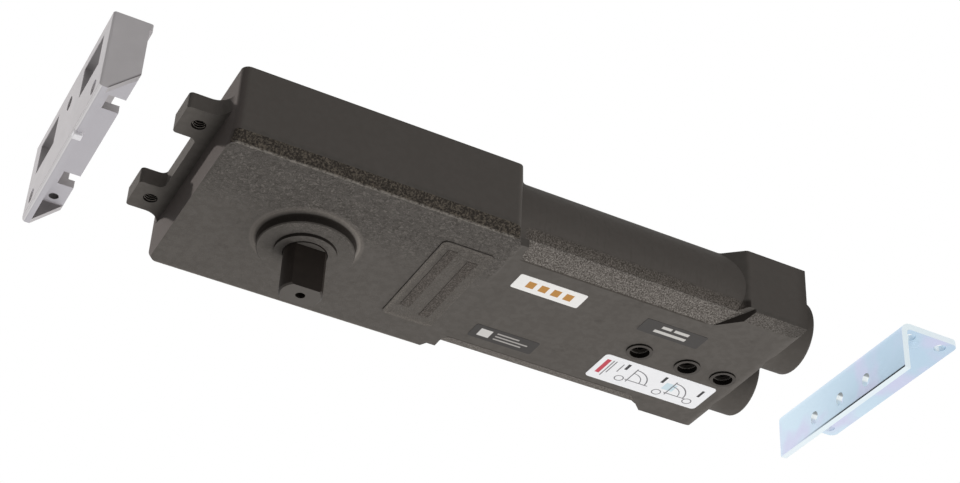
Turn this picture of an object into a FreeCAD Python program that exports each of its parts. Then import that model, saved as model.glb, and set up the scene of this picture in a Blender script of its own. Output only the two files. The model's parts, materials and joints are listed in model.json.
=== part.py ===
import FreeCAD, Part
import math
import os

os.makedirs("parts", exist_ok=True)

# Concealed overhead door closer. Millimetres. The spindle axis is the Z axis and points down out of the
# body; Z = 0 is the body's underside, +X runs from the lugs to the cylinder ends, -Y is the near side.
V = FreeCAD.Vector
AXIS_X = V(1, 0, 0)
AXIS_Y = V(0, 1, 0)
AXIS_Z = V(0, 0, 1)
SIDES = {"near": -1, "far": 1}

# Casting outline
body_height = 31.0
head_width = 88.9
head_front_x = -46.0
shoulder_x = 64.0
shoulder_run = 5.5
tail_top_width = 68.8
tail_crease_width = 76.4
tail_crease_height = 3.5
tail_floor_width = 59.6
tail_bulge = 4.4
band_start_gap = 1.5
band_end_lead = 1.0
band_end_run = 13.0
band_round = 4.0
wing_length = 34.8
wing_run = 8.0
wing_width = 83.2
end_x = 190.8
edge_chamfer = 3.5
end_edge_round = 6.0
corner_round = 3.0
inner_round = 2.5

# Lug plate at the front end
lug_underside = 14.8
lug_thickness = 6.6
lug_root_round = 6.4
lug_plate_reach = 4.9
lug_reach = 14.1
lug_width = 16.0
lug_spacing = 49.2
lug_hole_setback = 7.2
lug_hole_radius = 2.55
lug_corner_round = 1.5

# Spindle boss and raised panel on the underside
boss_radius = 18.0
boss_height = 4.6
boss_fillet = 2.0
boss_edge = 0.4
panel_x = 42.5
panel_length = 21.0
panel_width = 54.0
panel_height = 0.5

# Cylinder bores
bore_spacing = 37.2
bore_radius = 12.05
bore_front_wall = 5.0
cylinder_end_wall = 2.1
cylinder_end_reach = 9.5
cylinder_end_round = 1.2

# Rack and pinion
tooth_count = 12
tooth_module = 1.5
pressure_angle = math.radians(25.0)
tooth_addendum = 1.3
tooth_dedendum = 1.7
tooth_play = 0.34
piston_travel = 16.5
piston_stop_gap = 0.5
piston_head_length = 36.0
running_gap = 0.05
free_gap = 0.3

# Spindle and its bearings
spindle_radius = 7.94
spindle_flats = 11.0
spindle_reach = 23.7
spindle_tip_chamfer = 0.6
tip_hole_radius = 1.8
tip_hole_depth = 12.0
upper_journal_radius = 6.5
upper_bush_wall = 2.0
upper_bush_length = 4.0
top_wall = 2.5
stack_radius_most = 11.5
stack_rise = 1.95
gland_length = 4.9
seal_length = 2.5
lower_bush_length = 3.9
washer_thickness = 1.0
washer_radius_most = 10.0
end_play = 0.1

# Piston details
piston_seal_setback = 11.0
piston_seal_width = 3.0
piston_seal_depth = 2.0
check_ball_radius = 2.9
check_ball_play = 1.0
check_passage_radius = 1.5
retainer_length = 1.6
retainer_hole_radius = 1.8

# Spring, spring seat and end plug of each bore
spring_wire = 3.0
spring_gap = 0.75
spring_turns = 11
seat_thickness = 3.0
seat_pilot_gap = 2.3
seat_pilot_length = 5.0
plug_land = 0.85
plug_recess = 0.8
plug_length = 13.5
plug_ring_setback = 2.5
plug_ring_width = 2.0
plug_ring_depth = 1.5
plug_pin_inset = 5.9
plug_pin_radius = 1.6
plug_pin_depth = 4.0

# Regulating valves, in a row on the centre line
closing_valve_setback = 50.0
latching_valve_setback = 28.3
backcheck_valve_setback = 11.8
valve_radius = 3.45
valve_recess = 2.0
valve_head_length = 7.0
valve_neck_step = 1.15
valve_neck_length = 4.0
valve_tip_length = 2.5
valve_hex = 4.0
valve_hex_depth = 3.0
valve_ring_width = 1.6
valve_ring_depth = 1.0
collar_wall = 1.3
collar_step = 0.4
collar_proud = 0.8
collar_depth = 1.4
passage_radius = 1.2

# Front bracket, loose in front of the lugs
front_face_x = -93.7
front_width = 88.0
front_bottom = 1.5
front_height = 32.8
front_depth = 14.4
front_wall = 3.0
front_shelf_thickness = 3.2
front_cheek_setback = 1.3
front_slot_width = 8.0
front_slot_start = 7.0
front_window_width = 21.0
front_window_margin = 5.5
front_window_sill = 2.5
front_window_lintel = 1.3
front_screw_radius = 2.75
front_screw_rise = 5.5
front_screw_inset = 9.0
front_high_screw_drop = 9.3
front_pin_radius = 1.75
front_pin_inset = 7.0
front_pin_reach = 8.3
front_edge_round = 1.0
front_lower_round = 1.5

# Rear bracket, loose behind the cylinder ends
rear_face_x = 236.0
rear_width = 84.0
rear_top = 23.1
rear_leg_height = 21.2
rear_flange_depth = 28.5
rear_sheet = 2.7
rear_bend_radius = 2.0
rear_corner_round = 3.0
rear_slot_spacing = 17.5
rear_slot_width = 4.6
rear_slot_height = 5.8
rear_slot_rise = 6.7
rear_hole_radius = 2.4
rear_hole_bend_gap = 0.5
rear_hole_back_edge = 5.9
rear_hole_side_edge = 4.7
rear_nib_radius = 2.8
rear_nib_rise = 0.8
rear_nib_ahead = 4.8
rear_nib_inward = 3.7

# Sizes that follow from the ones above
wing_x = end_x - wing_length
bore_y = bore_spacing / 2
bore_z = body_height / 2
bore_front_x = head_front_x + bore_front_wall
open_end_x = end_x + cylinder_end_reach
plug_radius = bore_radius + plug_land
cylinder_end_radius = plug_radius + cylinder_end_wall
pitch_radius = tooth_count * tooth_module / 2
tooth_pitch = math.pi * tooth_module
tip_radius = pitch_radius + tooth_addendum
root_radius = pitch_radius - tooth_dedendum
chamber_radius = tip_radius + 3 * free_gap
piston_radius = bore_radius - running_gap
rack_front_x = bore_front_x + piston_travel + piston_stop_gap
rack_end_x = piston_travel + pitch_radius + piston_stop_gap
piston_end_x = rack_end_x + piston_head_length
piston_groove_x = piston_end_x - piston_seal_setback - piston_seal_width
ball_lift = math.sqrt(check_ball_radius ** 2 - check_passage_radius ** 2)
check_pocket_depth = ball_lift + check_ball_radius + check_ball_play + retainer_length
check_pocket_x = piston_end_x - check_pocket_depth
washer_bottom = bore_z - bore_radius + stack_rise
bush_bottom = washer_bottom - lower_bush_length
seal_bottom = bush_bottom - seal_length
gland_bottom = seal_bottom - gland_length
pinion_bottom = washer_bottom + washer_thickness + end_play
pocket_top = body_height - top_wall
upper_bush_bottom = pocket_top - upper_bush_length
upper_bush_radius = upper_journal_radius + upper_bush_wall
pinion_top = upper_bush_bottom - end_play
spring_mean_radius = bore_radius - spring_gap - spring_wire / 2
seat_pilot_radius = spring_mean_radius - spring_wire / 2 - seat_pilot_gap
plug_start_x = open_end_x - plug_recess - plug_length
plug_groove_x = plug_start_x + plug_ring_setback
seat_x = plug_start_x - seat_thickness
valve_positions = {"closing": end_x - closing_valve_setback,
                   "latching": end_x - latching_valve_setback,
                   "backcheck": end_x - backcheck_valve_setback}
valve_bore_radius = valve_radius + running_gap
valve_neck_radius = valve_radius - valve_neck_step
valve_head_top = valve_recess + valve_head_length
valve_groove_z = valve_head_top - 2 * valve_ring_width
valve_tip = valve_head_top + valve_neck_length + valve_tip_length
collar_hole_radius = valve_bore_radius + collar_step
collar_radius = collar_hole_radius + collar_wall
front_top = front_bottom + front_height
shelf_top = lug_underside - free_gap
shelf_underside = shelf_top - front_shelf_thickness
rear_hole_inset = rear_sheet + rear_bend_radius + rear_hole_radius + rear_hole_bend_gap


def clear_of_bores(z):
    """How far a round piece on the spindle axis may reach at a height and stay clear of both bores."""
    rise = abs(bore_z - z)
    if rise >= bore_radius:
        return bore_y
    return bore_y - math.sqrt(bore_radius ** 2 - rise ** 2) - free_gap


stack_radius = min(stack_radius_most, clear_of_bores(washer_bottom))
washer_radius = min(washer_radius_most, clear_of_bores(washer_bottom + washer_thickness))


def prism(points, sweep):
    """A closed outline swept along a vector."""
    corners = [V(*point) for point in points]
    return Part.Face(Part.makePolygon(corners + corners[:1])).extrude(sweep)


def box(low, high):
    """A block between two corners."""
    return Part.makeBox(high[0] - low[0], high[1] - low[1], high[2] - low[2], V(*low))


def rod(radius, start, length, axis):
    """A cylinder from a start point along an axis."""
    return Part.makeCylinder(radius, length, V(*start), axis)


def tube(outer, inner, start, length, axis):
    """A hollow cylinder."""
    return rod(outer, start, length, axis).cut(rod(inner, start, length, axis))


def turned(profile, axis_point, axis):
    """A solid turned from an outline of points around an axis."""
    corners = [V(*point) for point in profile]
    face = Part.Face(Part.makePolygon(corners + corners[:1]))
    return face.revolve(V(*axis_point), axis, 360)


def hexagon(across_flats, start, length, axis):
    """A six-sided bar, for a key socket."""
    radius = across_flats / math.sqrt(3)
    turns = [k * math.pi / 3 for k in range(6)]
    bar = prism([(radius * math.cos(turn), radius * math.sin(turn), 0) for turn in turns], V(0, 0, length))
    bar.Placement = FreeCAD.Placement(V(*start), FreeCAD.Rotation(AXIS_Z, axis))
    return bar


def rounded(shape, places, radius):
    """Rounds the upright edges that stand at the given places in plan."""
    picked = []
    for edge in shape.Edges:
        first, last = edge.Vertexes[0].Point, edge.Vertexes[-1].Point
        upright = abs(first.x - last.x) < 1e-6 and abs(first.y - last.y) < 1e-6
        if upright and any(math.hypot(first.x - x, first.y - y) < 1e-3 for x, y in places):
            picked.append(edge)
    return shape.makeFillet(radius, picked)


def lower_edge(x, z, inward, radius, half):
    """What a rounded lower edge along Y leaves off; inward is the way along X from the edge into the piece."""
    low, high = sorted((x - inward, x + inward * radius))
    corner = box((low, -half, z - 1), (high, half, z + radius))
    return corner.cut(rod(radius, (x + inward * radius, -half, z + radius), 2 * half, AXIS_Y))


def both(places):
    """The given places in plan and their mirror images across the centre line."""
    return [(x, side * y) for x, y in places for side in (-1, 1)]


def save(name, shape):
    solid = shape.removeSplitter()
    if len(solid.Solids) == 1:
        solid = solid.Solids[0]
    solid.exportStep("parts/" + name + ".step")


def body_block():
    """The casting's outline in plan, raised to full height, with its lower edges and corners broken."""
    head, tail, wing = head_width / 2, tail_top_width / 2, wing_width / 2
    far_half = [(head_front_x, head), (shoulder_x, head), (shoulder_x + shoulder_run, tail), (wing_x, tail),
                (wing_x + wing_run, wing), (end_x, wing)]
    outline = far_half + [(x, -y) for x, y in reversed(far_half)]
    block = prism([(x, y, 0) for x, y in outline], V(0, 0, body_height))
    block = rounded(block, both(far_half[1:5]), inner_round)
    for side in SIDES.values():
        for half, start, stop in ((head, head_front_x, shoulder_x + shoulder_run), (wing, wing_x, end_x)):
            edge = [(start - 1, side * (half + 1), -1), (start - 1, side * (half + 1), edge_chamfer + 1),
                    (start - 1, side * (half - edge_chamfer - 1), -1)]
            block = block.cut(prism(edge, V(stop - start + 2, 0, 0)))
    corners = [edge for edge in block.Edges if on_front_corner(edge)]
    block = block.makeFillet(corner_round, corners)
    return block.cut(lower_edge(end_x, 0, -1, end_edge_round, head_width / 2))


def on_front_corner(edge):
    """Whether an edge of the block runs up one of the head's two front corners, slanted end included."""
    middle = edge.CenterOfMass
    inside = head_width / 2 - edge_chamfer - 0.01
    return abs(middle.x - head_front_x) < 1e-3 and abs(middle.y) > inside and middle.z < body_height - 1e-3


def tail_barrel():
    """The tail's bulging sides, which follow the cylinders inside."""
    start, stop = shoulder_x, wing_x + wing_run
    crease, top = tail_crease_width / 2, tail_top_width / 2
    rise = body_height - tail_crease_height
    chord = math.hypot(rise, crease - top)
    belly_y = (crease + top) / 2 + tail_bulge * rise / chord
    belly_z = (tail_crease_height + body_height) / 2 + tail_bulge * (crease - top) / chord

    def wall(side):
        return Part.Arc(V(start, side * crease, tail_crease_height), V(start, side * belly_y, belly_z),
                        V(start, side * top, body_height)).toShape()

    roof = Part.makeLine(V(start, top, body_height), V(start, -top, body_height))
    floor = Part.makePolygon([V(start, -crease, tail_crease_height), V(start, -crease, 0), V(start, crease, 0),
                              V(start, crease, tail_crease_height)])
    section = Part.Wire(Part.__sortEdges__([wall(1), roof, wall(-1)] + floor.Edges))
    return Part.Face(section).extrude(V(stop - start, 0, 0))


def tail_band(side):
    """What the slanted band under one side of the tail leaves off, with its rounded and its slanted end."""
    start, stop = shoulder_x + shoulder_run + band_start_gap, wing_x - band_end_lead
    floor, reach = tail_floor_width / 2, wing_width / 2 + 1
    slope = tail_crease_height / (tail_crease_width / 2 - floor)
    wedge = prism([(start, side * floor, 0), (start, side * reach, slope * (reach - floor)),
                   (start, side * reach, -1), (start, side * floor, -1)], V(stop + band_end_run - start, 0, 0))
    plan = prism([(start, side * floor, -2), (stop, side * floor, -2),
                  (stop + band_end_run, side * reach, -2), (start, side * reach, -2)],
                 V(0, 0, slope * (reach - floor) + 3))
    ends = [(start, side * floor), (stop, side * floor)]
    return wedge.common(rounded(plan, ends, band_round))


def lug_plate():
    """The plate across the front end with its two forward lugs, blended into the end wall outside them."""
    root, plate, tip = head_front_x + 1, head_front_x - lug_plate_reach, head_front_x - lug_reach
    inner, outer = (lug_spacing - lug_width) / 2, (lug_spacing + lug_width) / 2
    deep, wide = head_front_x - lug_root_round, outer + lug_root_round
    far_half = [(root, wide), (deep, wide), (deep, outer), (tip, outer), (tip, inner), (plate, inner)]
    outline = far_half + [(x, -y) for x, y in reversed(far_half)]
    plate_solid = prism([(x, y, lug_underside) for x, y in outline], V(0, 0, lug_thickness))
    plate_solid = rounded(plate_solid, both([(tip, inner), (tip, outer)]), lug_corner_round)
    plate_solid = rounded(plate_solid, both([(plate, inner)]), inner_round)
    for side in SIDES.values():
        blend = rod(lug_root_round, (deep, side * wide, lug_underside - 1), lug_thickness + 2, AXIS_Z)
        hole = (head_front_x - lug_hole_setback, side * lug_spacing / 2, lug_underside - 1)
        plate_solid = plate_solid.cut(blend)
        plate_solid = plate_solid.cut(rod(lug_hole_radius, hole, lug_thickness + 2, AXIS_Z))
    return plate_solid


def spindle_boss():
    """The round boss under the spindle with a fillet at its root."""
    foot = boss_radius + boss_fillet
    corner = boss_fillet * (1 - math.sqrt(0.5))
    middle = V(boss_radius + corner, 0, -corner)
    curve = Part.Arc(V(boss_radius, 0, -boss_fillet), middle, V(foot, 0, 0)).toShape()
    rest = Part.makePolygon([V(foot, 0, 0), V(foot, 0, 1), V(0, 0, 1), V(0, 0, -boss_height),
                             V(boss_radius - boss_edge, 0, -boss_height),
                             V(boss_radius, 0, boss_edge - boss_height), V(boss_radius, 0, -boss_fillet)])
    return Part.Face(Part.Wire([curve] + rest.Edges)).revolve(V(0, 0, 0), AXIS_Z, 360)


def raised_panel():
    """The bare raised panel between the boss and the tail."""
    half = panel_width / 2
    pad = box((panel_x, -half, -panel_height), (panel_x + panel_length, half, 1))
    return rounded(pad, both([(panel_x, half), (panel_x + panel_length, half)]), inner_round)


def cylinder_end(side):
    """The round end of one cylinder, standing out of the end wall."""
    root_x = end_x - end_edge_round
    end = rod(cylinder_end_radius, (root_x, side * bore_y, bore_z), open_end_x - root_x, AXIS_X)
    rim = [edge for edge in end.Edges if edge.CenterOfMass.x > open_end_x - 0.01]
    return end.makeFillet(cylinder_end_round, rim)


def closer_body():
    """The iron casting with its bores, spindle stack and valve holes."""
    casting = body_block().fuse(tail_barrel())
    for side in SIDES.values():
        casting = casting.cut(tail_band(side))
    casting = casting.fuse([lug_plate(), spindle_boss(), raised_panel()])
    casting = casting.fuse([cylinder_end(side) for side in SIDES.values()])
    hollows = [rod(chamber_radius, (0, 0, washer_bottom), upper_bush_bottom - washer_bottom, AXIS_Z),
               rod(stack_radius, (0, 0, gland_bottom - 1), washer_bottom - gland_bottom + 1, AXIS_Z),
               rod(upper_bush_radius, (0, 0, upper_bush_bottom - 1), upper_bush_length + 1, AXIS_Z)]
    for side in SIDES.values():
        axis_y = side * bore_y
        bore_length = open_end_x - bore_front_x + 1
        hollows.append(rod(bore_radius, (bore_front_x, axis_y, bore_z), bore_length, AXIS_X))
        mouth_length = open_end_x - plug_start_x + 1
        hollows.append(rod(plug_radius, (plug_start_x, axis_y, bore_z), mouth_length, AXIS_X))
    for x in valve_positions.values():
        hollows.append(rod(valve_bore_radius, (x, 0, -1), valve_head_top + free_gap + 1, AXIS_Z))
        hollows.append(rod(valve_neck_radius + free_gap, (x, 0, 0), valve_tip + free_gap, AXIS_Z))
        hollows.append(rod(collar_radius, (x, 0, -1), collar_depth + 1, AXIS_Z))
        hollows.append(rod(passage_radius, (x, -bore_y, valve_head_top + 2), bore_spacing, AXIS_Y))
    for hollow in hollows:
        casting = casting.cut(hollow)
    return casting


def pinion_outline():
    """The toothed outline of the pinion, with a tooth on +Y."""
    base = pitch_radius * math.cos(pressure_angle)
    half_at_base = (tooth_pitch / 2 - tooth_play) / (2 * pitch_radius)
    half_at_base += math.tan(pressure_angle) - pressure_angle

    def place(radius, angle):
        return V(radius * math.cos(angle), radius * math.sin(angle), 0)

    def half_angle(radius):
        turn = math.acos(base / radius)
        return half_at_base - math.tan(turn) + turn

    step = 2 * math.pi / tooth_count
    mid = (base + tip_radius) / 2
    edges = []
    for k in range(tooth_count):
        centre = math.pi / 2 + k * step
        flank = [(root_radius, half_at_base), (base, half_at_base), (mid, half_angle(mid)),
                 (tip_radius, half_angle(tip_radius))]
        right = [place(radius, centre - angle) for radius, angle in flank]
        left = [place(radius, centre + angle) for radius, angle in flank]
        after = place(root_radius, centre + step - half_at_base)
        edges += [Part.makeLine(right[0], right[1]),
                  Part.Arc(right[1], right[2], right[3]).toShape(),
                  Part.Arc(right[3], place(tip_radius, centre), left[3]).toShape(),
                  Part.Arc(left[3], left[2], left[1]).toShape(),
                  Part.makeLine(left[1], left[0]),
                  Part.Arc(left[0], place(root_radius, centre + step / 2), after).toShape()]
    return Part.Face(Part.Wire(edges))


def pinion_spindle():
    """The spindle with its pinion, its two flats and the threaded hole in its tip."""
    tip = -spindle_reach
    shaft = turned([(0, 0, tip), (spindle_radius - spindle_tip_chamfer, 0, tip),
                    (spindle_radius, 0, tip + spindle_tip_chamfer), (spindle_radius, 0, pinion_bottom + 1),
                    (0, 0, pinion_bottom + 1)], (0, 0, 0), AXIS_Z)
    teeth = pinion_outline().extrude(V(0, 0, pinion_top - pinion_bottom))
    teeth.translate(V(0, 0, pinion_bottom))
    journal = rod(upper_journal_radius, (0, 0, pinion_top - 1), upper_bush_length - end_play + 1, AXIS_Z)
    spindle = shaft.fuse([teeth, journal])
    flats_top = gland_bottom - free_gap
    beyond = 2 * spindle_radius
    for side in SIDES.values():
        low, high = sorted((side * spindle_flats / 2, side * beyond))
        spindle = spindle.cut(box((-beyond, low, tip - 1), (beyond, high, flats_top)))
    return spindle.cut(rod(tip_hole_radius, (0, 0, tip - 1), tip_hole_depth + 1, AXIS_Z))


def rack_piston(side):
    """One piston: a toothed front beside the pinion and a round head with seal groove and check pocket."""
    axis_y = side * bore_y
    length = piston_end_x - rack_front_x
    piston = rod(piston_radius, (rack_front_x, axis_y, bore_z), length, AXIS_X)
    low, high = bore_z - bore_radius, bore_z + bore_radius
    tips = pitch_radius - tooth_addendum
    inner, outer = sorted((side * (bore_y - 2 * piston_radius), side * tips))
    piston = piston.cut(box((rack_front_x - 1, inner, low), (rack_end_x, outer, high)))
    slope = math.tan(pressure_angle)
    half_gap = (tooth_pitch / 2 + tooth_play) / 2
    past = 0.2
    mouth = half_gap + (tooth_addendum + past) * slope
    floor = half_gap - tooth_dedendum * slope
    facing_gap = side < 0 and tooth_count % 2 == 1
    shift = tooth_pitch / 2 if facing_gap else 0
    first = math.ceil((rack_front_x + mouth - shift) / tooth_pitch)
    last = math.floor((rack_end_x - mouth - shift) / tooth_pitch)
    for k in range(first, last + 1):
        x = k * tooth_pitch + shift
        gap = [(x - mouth, side * (tips - past), low), (x + mouth, side * (tips - past), low),
               (x + floor, side * (pitch_radius + tooth_dedendum), low),
               (x - floor, side * (pitch_radius + tooth_dedendum), low)]
        piston = piston.cut(prism(gap, V(0, 0, high - low)))
    groove = tube(bore_radius + 1, piston_radius - piston_seal_depth, (piston_groove_x, axis_y, bore_z),
                  piston_seal_width, AXIS_X)
    pocket = rod(check_ball_radius + running_gap, (check_pocket_x, axis_y, bore_z),
                 check_pocket_depth + 1, AXIS_X)
    passage = rod(check_passage_radius, (rack_front_x - 1, axis_y, bore_z), length, AXIS_X)
    return piston.cut(groove).cut(pocket).cut(passage)


def piston_seal(side):
    """The seal ring in a piston's groove."""
    return tube(piston_radius, piston_radius - piston_seal_depth, (piston_groove_x, side * bore_y, bore_z),
                piston_seal_width, AXIS_X)


def check_ball(side):
    """The ball that lets oil through a piston one way only."""
    return Part.makeSphere(check_ball_radius, V(check_pocket_x + ball_lift, side * bore_y, bore_z))


def ball_retainer(side):
    """The ring that keeps the ball in its pocket."""
    return tube(check_ball_radius + running_gap, retainer_hole_radius,
                (piston_end_x - retainer_length, side * bore_y, bore_z), retainer_length, AXIS_X)


def spring(side):
    """The coil spring between a piston and its spring seat."""
    start, stop = piston_end_x + spring_wire / 2, seat_x - spring_wire / 2
    helix = Part.makeHelix((stop - start) / spring_turns, stop - start, spring_mean_radius)
    section = Part.Wire(Part.makeCircle(spring_wire / 2, V(spring_mean_radius, 0, 0), AXIS_Y))
    coil = Part.Wire(helix.Edges).makePipeShell([section], True, True)
    coil.Placement = FreeCAD.Placement(V(start, side * bore_y, bore_z), FreeCAD.Rotation(AXIS_Z, AXIS_X))
    return coil


def spring_seat(side):
    """The seat that centres the spring against the end plug."""
    axis_y = side * bore_y
    disc = rod(bore_radius - 2 * free_gap, (seat_x, axis_y, bore_z), seat_thickness, AXIS_X)
    pilot = rod(seat_pilot_radius, (seat_x - seat_pilot_length, axis_y, bore_z), seat_pilot_length, AXIS_X)
    return disc.fuse(pilot)


def end_plug(side):
    """The screwed plug that closes a cylinder, with two spanner holes and a groove for its ring."""
    axis_y = side * bore_y
    plug = rod(plug_radius, (plug_start_x, axis_y, bore_z), plug_length, AXIS_X)
    groove = tube(plug_radius + 1, plug_radius - plug_ring_depth, (plug_groove_x, axis_y, bore_z),
                  plug_ring_width, AXIS_X)
    plug = plug.cut(groove)
    hole_x = plug_start_x + plug_length - plug_pin_depth
    for way in (-1, 1):
        hole_y = axis_y + way * (plug_radius - plug_pin_inset)
        plug = plug.cut(rod(plug_pin_radius, (hole_x, hole_y, bore_z), plug_pin_depth + 1, AXIS_X))
    return plug


def plug_ring(side):
    """The sealing ring around an end plug."""
    return tube(plug_radius, plug_radius - plug_ring_depth, (plug_groove_x, side * bore_y, bore_z),
                plug_ring_width, AXIS_X)


def valve(x):
    """A regulating valve screw: a sealed head with a key socket, a neck and a needle tip."""
    groove_top = valve_groove_z + valve_ring_width
    neck_top = valve_head_top + valve_neck_length
    waist = valve_radius - valve_ring_depth
    half = [(0, valve_recess), (valve_radius, valve_recess), (valve_radius, valve_groove_z),
            (waist, valve_groove_z), (waist, groove_top), (valve_radius, groove_top),
            (valve_radius, valve_head_top), (valve_neck_radius, valve_head_top),
            (valve_neck_radius, neck_top), (0.3 * valve_neck_radius, valve_tip), (0, valve_tip)]
    screw = turned([(x + reach, 0, z) for reach, z in half], (x, 0, 0), AXIS_Z)
    return screw.cut(hexagon(valve_hex, (x, 0, valve_recess - 1), valve_hex_depth + 1, AXIS_Z))


def valve_ring(x):
    """The sealing ring in a valve's groove."""
    waist = valve_radius - valve_ring_depth
    return tube(valve_radius, waist, (x, 0, valve_groove_z), valve_ring_width, AXIS_Z)


def valve_collars():
    """The raised rings around the valve holes."""
    height = collar_proud + collar_depth
    rings = [tube(collar_radius, collar_hole_radius, (x, 0, -collar_proud), height, AXIS_Z)
             for x in valve_positions.values()]
    return Part.makeCompound(rings)


def front_bracket():
    """The jamb bracket: a face with two windows, a roof, a shelf with open slots, and two cheeks."""
    face_x, back_x = front_face_x, front_face_x + front_depth
    half = front_width / 2
    cheek_x = back_x - front_cheek_setback
    parts = [box((face_x, -half, front_bottom), (face_x + front_wall, half, front_top)),
             box((face_x, -half, front_top - front_wall), (back_x, half, front_top)),
             box((face_x, -half, shelf_underside), (cheek_x, half, shelf_top))]
    for side in SIDES.values():
        cheek = prism([(face_x, side * half, front_bottom), (face_x + front_wall, side * half, front_bottom),
                       (cheek_x, side * half, shelf_underside), (cheek_x, side * half, front_top),
                       (face_x, side * half, front_top)], V(0, -side * front_wall, 0))
        parts.append(cheek)
    bracket = parts[0].fuse(parts[1:]).removeSplitter()
    bracket = rounded(bracket, both([(face_x, half), (back_x, half)]), front_edge_round)
    bracket = bracket.cut(lower_edge(face_x, front_bottom, 1, front_lower_round, half + 1))
    through = front_wall + 2
    window_outer = half - front_wall - front_window_margin
    window_low, window_high = shelf_top + front_window_sill, front_top - front_wall - front_window_lintel
    for side in SIDES.values():
        low, high = sorted((side * (window_outer - front_window_width), side * window_outer))
        window = box((face_x - 1, low, window_low), (face_x - 1 + through, high, window_high))
        middle = side * lug_spacing / 2
        slot = box((face_x + front_slot_start, middle - front_slot_width / 2, shelf_underside - 1),
                   (back_x + 1, middle + front_slot_width / 2, shelf_top + 1))
        screw = (face_x - 1, side * (half - front_screw_inset), front_bottom + front_screw_rise)
        pin = (face_x + front_pin_reach, side * (half - front_pin_inset), shelf_underside - 1)
        bracket = bracket.cut(window).cut(slot)
        bracket = bracket.cut(rod(front_screw_radius, screw, through, AXIS_X))
        bracket = bracket.cut(rod(front_pin_radius, pin, front_shelf_thickness + 2, AXIS_Z))
    high_screw = (face_x - 1, 0, front_top - front_high_screw_drop)
    return bracket.cut(rod(front_screw_radius, high_screw, through, AXIS_X))


def rear_bracket():
    """The bent steel angle: a flange with four holes and a hanging leg with three upright slots."""
    half = rear_width / 2
    flange_low, leg_low = rear_top - rear_sheet, rear_top - rear_leg_height
    back_x, leg_back_x = rear_face_x + rear_flange_depth, rear_face_x + rear_sheet
    outer, inner = rear_sheet + rear_bend_radius, rear_bend_radius
    centre = V(rear_face_x + outer, -half, rear_top - outer)
    slant = math.sqrt(0.5)

    def bend(radius):
        return Part.Arc(centre + V(-radius, 0, 0), centre + V(-radius * slant, 0, radius * slant),
                        centre + V(0, 0, radius)).toShape()

    flange = Part.makePolygon([V(centre.x, -half, rear_top), V(back_x, -half, rear_top),
                               V(back_x, -half, flange_low), V(centre.x, -half, flange_low)])
    leg = Part.makePolygon([V(leg_back_x, -half, centre.z), V(leg_back_x, -half, leg_low),
                            V(rear_face_x, -half, leg_low), V(rear_face_x, -half, centre.z)])
    edges = [bend(outer)] + flange.Edges + [bend(inner)] + leg.Edges
    section = Part.Wire(Part.__sortEdges__(edges))
    angle = Part.Face(section).extrude(V(0, rear_width, 0))
    angle = rounded(angle, both([(back_x, half)]), rear_corner_round)
    radius = rear_slot_width / 2
    reach = rear_slot_height / 2 - radius
    middle = leg_low + rear_slot_rise
    for k in (-1, 0, 1):
        y = k * rear_slot_spacing
        slot = box((rear_face_x - 1, y - radius, middle - reach),
                   (leg_back_x + 1, y + radius, middle + reach))
        for end in (-1, 1):
            slot = slot.fuse(rod(radius, (rear_face_x - 1, y, middle + end * reach), rear_sheet + 2, AXIS_X))
        angle = angle.cut(slot)
    for x in (rear_face_x + rear_hole_inset, back_x - rear_hole_back_edge):
        for side in SIDES.values():
            hole = (x, side * (half - rear_hole_side_edge), flange_low - 1)
            angle = angle.cut(rod(rear_hole_radius, hole, rear_sheet + 2, AXIS_Z))
    nib_x = rear_face_x + rear_hole_inset + rear_nib_ahead
    nib_y = SIDES["near"] * (half - rear_hole_side_edge - rear_nib_inward)
    dome = (rear_nib_radius ** 2 + rear_nib_rise ** 2) / (2 * rear_nib_rise)
    ball = Part.makeSphere(dome, V(nib_x, nib_y, flange_low + dome - rear_nib_rise))
    stamped = rod(rear_nib_radius + 1, (nib_x, nib_y, flange_low - rear_nib_rise - 1), rear_nib_rise + 1.5, AXIS_Z)
    return angle.fuse(ball.common(stamped))


bearing_hole = spindle_radius + running_gap
clearance_hole = spindle_radius + free_gap
journal_hole = upper_journal_radius + running_gap
save("closer_body", closer_body())
save("pinion_spindle", pinion_spindle())
save("gland_ring", tube(stack_radius, clearance_hole, (0, 0, gland_bottom), gland_length, AXIS_Z))
save("spindle_seal", tube(stack_radius, bearing_hole, (0, 0, seal_bottom), seal_length, AXIS_Z))
save("lower_bush", tube(stack_radius, bearing_hole, (0, 0, bush_bottom), lower_bush_length, AXIS_Z))
save("thrust_washer", tube(washer_radius, clearance_hole, (0, 0, washer_bottom), washer_thickness, AXIS_Z))
save("upper_bush", tube(upper_bush_radius, journal_hole, (0, 0, upper_bush_bottom),
                        upper_bush_length, AXIS_Z))
for name, side in SIDES.items():
    save("rack_piston_" + name, rack_piston(side))
    save("piston_seal_" + name, piston_seal(side))
    save("check_ball_" + name, check_ball(side))
    save("ball_retainer_" + name, ball_retainer(side))
    save("spring_" + name, spring(side))
    save("spring_seat_" + name, spring_seat(side))
    save("end_plug_" + name, end_plug(side))
    save("plug_ring_" + name, plug_ring(side))
for name, x in valve_positions.items():
    save(name + "_valve", valve(x))
    save(name + "_valve_ring", valve_ring(x))
save("valve_collars", valve_collars())
save("front_bracket", front_bracket())
save("rear_bracket", rear_bracket())
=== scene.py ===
# %% [markdown]
# # A concealed overhead door closer
# The closer hides in the header above a door. Its iron body, spindle, valves and two loose brackets come
# from the packed CAD frame, so their shapes and places are already right. This lesson dresses them: it
# sets up the view and the light, builds the finishes from nodes, and models the small pieces that the
# frame leaves out, which are the stickers, the rough ribs on the raised panel, a casting nub and the
# threads in the lugs. It also makes coil springs that take the place of the frame's rigid ones.

# %% Load the frame
import json
import math
import bpy
from mathutils import Matrix, Vector


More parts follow.
